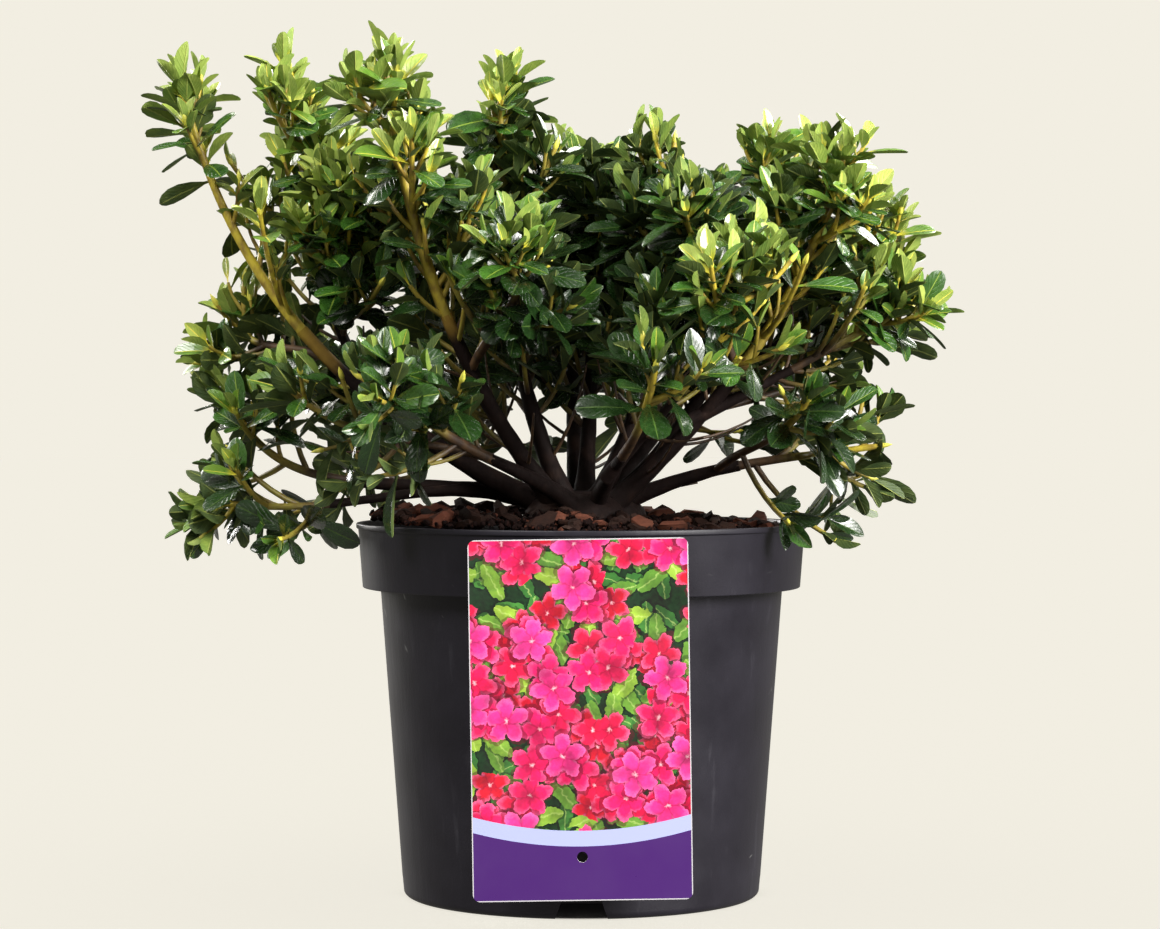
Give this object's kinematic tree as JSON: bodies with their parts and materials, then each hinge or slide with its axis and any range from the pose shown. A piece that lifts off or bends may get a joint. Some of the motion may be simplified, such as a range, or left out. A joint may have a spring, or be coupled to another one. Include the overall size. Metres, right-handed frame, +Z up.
{
  "type": "potted azalea shrub",
  "caption": "Evergreen azalea shrub of many stems in a black round nursery pot, with a picture card under the pot's lip.",
  "frame": {"origin": "centre of the flat underside of the pot", "axes": "+Z up along the pot's axis, -Y towards the side with the card, +X to the right when the card is seen from the front"},
  "size_m": [0.3669, 0.295, 0.3638],
  "materials": {
    "pot_plastic": "semi-matte black moulded plastic with fine scuffs",
    "card": "thin printed plastic card with a soft gloss",
    "soil": "dark peat with reddish brown bark chips",
    "bark": "rough dark brown bark on the old stems",
    "foliage": "glossy dark green leaves, young ones yellow green"
  },
  "bodies": {
    "root": {"bough_back_left": "bark", "bough_back_mid": "bark", "bough_back_right": "bark", "bough_back_tall": "bark", "bough_front_left_low": "bark", "bough_front_left_tall": "bark", "bough_front_low": "bark", "bough_front_right": "bark", "bough_front_right_tall": "bark", "bough_left_bottom": "bark", "bough_left_mid": "bark", "bough_left_second": "bark", "bough_left_tall": "bark", "bough_middle_back": "bark", "bough_middle_left": "bark", "bough_middle_right": "bark", "bough_right_back_tall": "bark", "bough_right_low": "bark", "bough_right_mid": "bark", "bough_right_tall": "bark", "card": "card", "leaves_back_left": "foliage", "leaves_back_left_low": "foliage", "leaves_back_left_mid": "foliage", "leaves_back_low": "foliage", "leaves_back_mid": "foliage", "leaves_back_right": "foliage", "leaves_back_right_low": "foliage", "leaves_back_tall": "foliage", "leaves_front_inner": "foliage", "leaves_front_left_low": "foliage", "leaves_front_left_tall": "foliage", "leaves_front_low": "foliage", "leaves_front_middle": "foliage", "leaves_front_right": "foliage", "leaves_front_right_tall": "foliage", "leaves_left_bottom": "foliage", "leaves_left_front": "foliage", "leaves_left_inner": "foliage", "leaves_left_mid": "foliage", "leaves_left_second": "foliage", "leaves_left_side": "foliage", "leaves_left_tall": "foliage", "leaves_middle_back": "foliage", "leaves_middle_left": "foliage", "leaves_middle_right": "foliage", "leaves_right_back_tall": "foliage", "leaves_right_front": "foliage", "leaves_right_low": "foliage", "leaves_right_mid": "foliage", "leaves_right_tall": "foliage", "pot": "pot_plastic", "soil": "soil", "trunk": "bark"}
  },
  "joints": []
}
